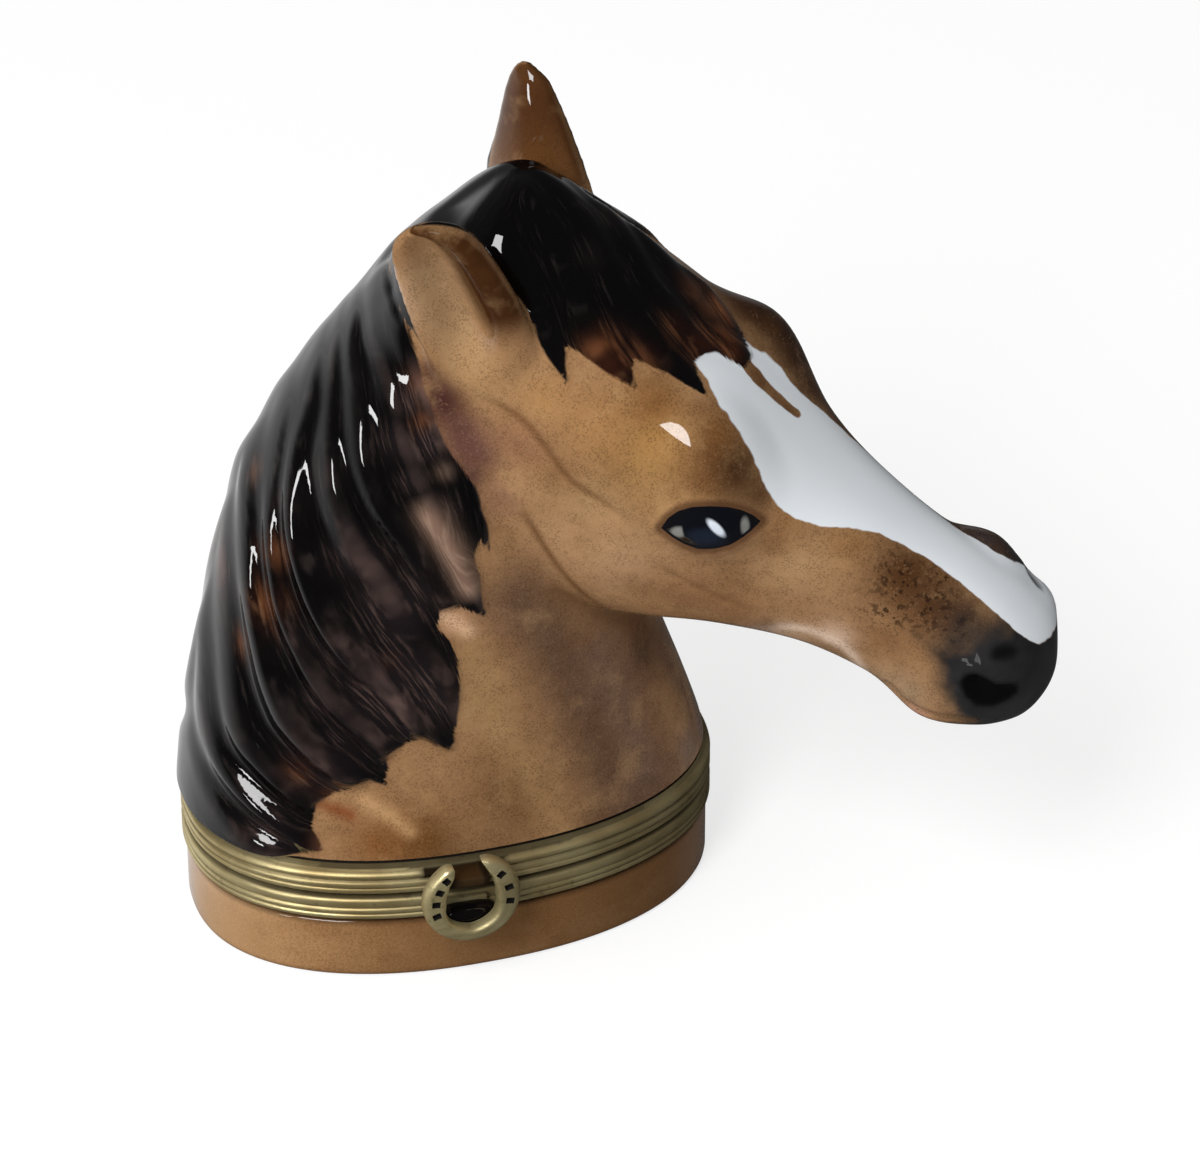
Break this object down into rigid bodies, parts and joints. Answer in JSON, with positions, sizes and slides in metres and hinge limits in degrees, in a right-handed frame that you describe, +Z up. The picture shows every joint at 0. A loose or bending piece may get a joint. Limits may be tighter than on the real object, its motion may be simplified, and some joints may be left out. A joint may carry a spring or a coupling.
{
  "type": "hinged trinket box",
  "caption": "Small hinged oval box: a hollow horse-head lid over a shallow dish, brass rims, a back hinge and a horseshoe clasp.",
  "frame": {"origin": "centre of the dish's flat underside, on the table", "axes": "+Z up out of the box; X along the oval's long axis, +X to the horse's throat and muzzle; -Y to the horseshoe clasp, +Y to the hinge"},
  "size_m": [0.0611, 0.042, 0.0655],
  "materials": {
    "head_glaze": "painted and glazed porcelain",
    "dish_glaze": "painted and glazed porcelain",
    "brass": "antique, reeded",
    "cement": "matte, dark",
    "bead": "polished, black"
  },
  "bodies": {
    "base": {"base_dish": "dish_glaze", "lower_cement": "cement", "lower_band": "brass", "hinge_leaf_lower": "brass", "hinge_pin": "brass", "catch_seat": "brass", "catch_bead": "bead"},
    "lid": {"lid_head": "head_glaze", "upper_cement": "cement", "upper_band": "brass", "hinge_leaf_upper": "brass", "clasp_arm": "brass", "horseshoe": "brass"}
  },
  "joints": [
    {"name": "lid_hinge", "type": "hinge", "parent": "base", "child": "lid", "pos_m": [0, 0.0149, 0.00765], "axis": [-1, 0, 0], "range_deg": [0, 95]}
  ]
}
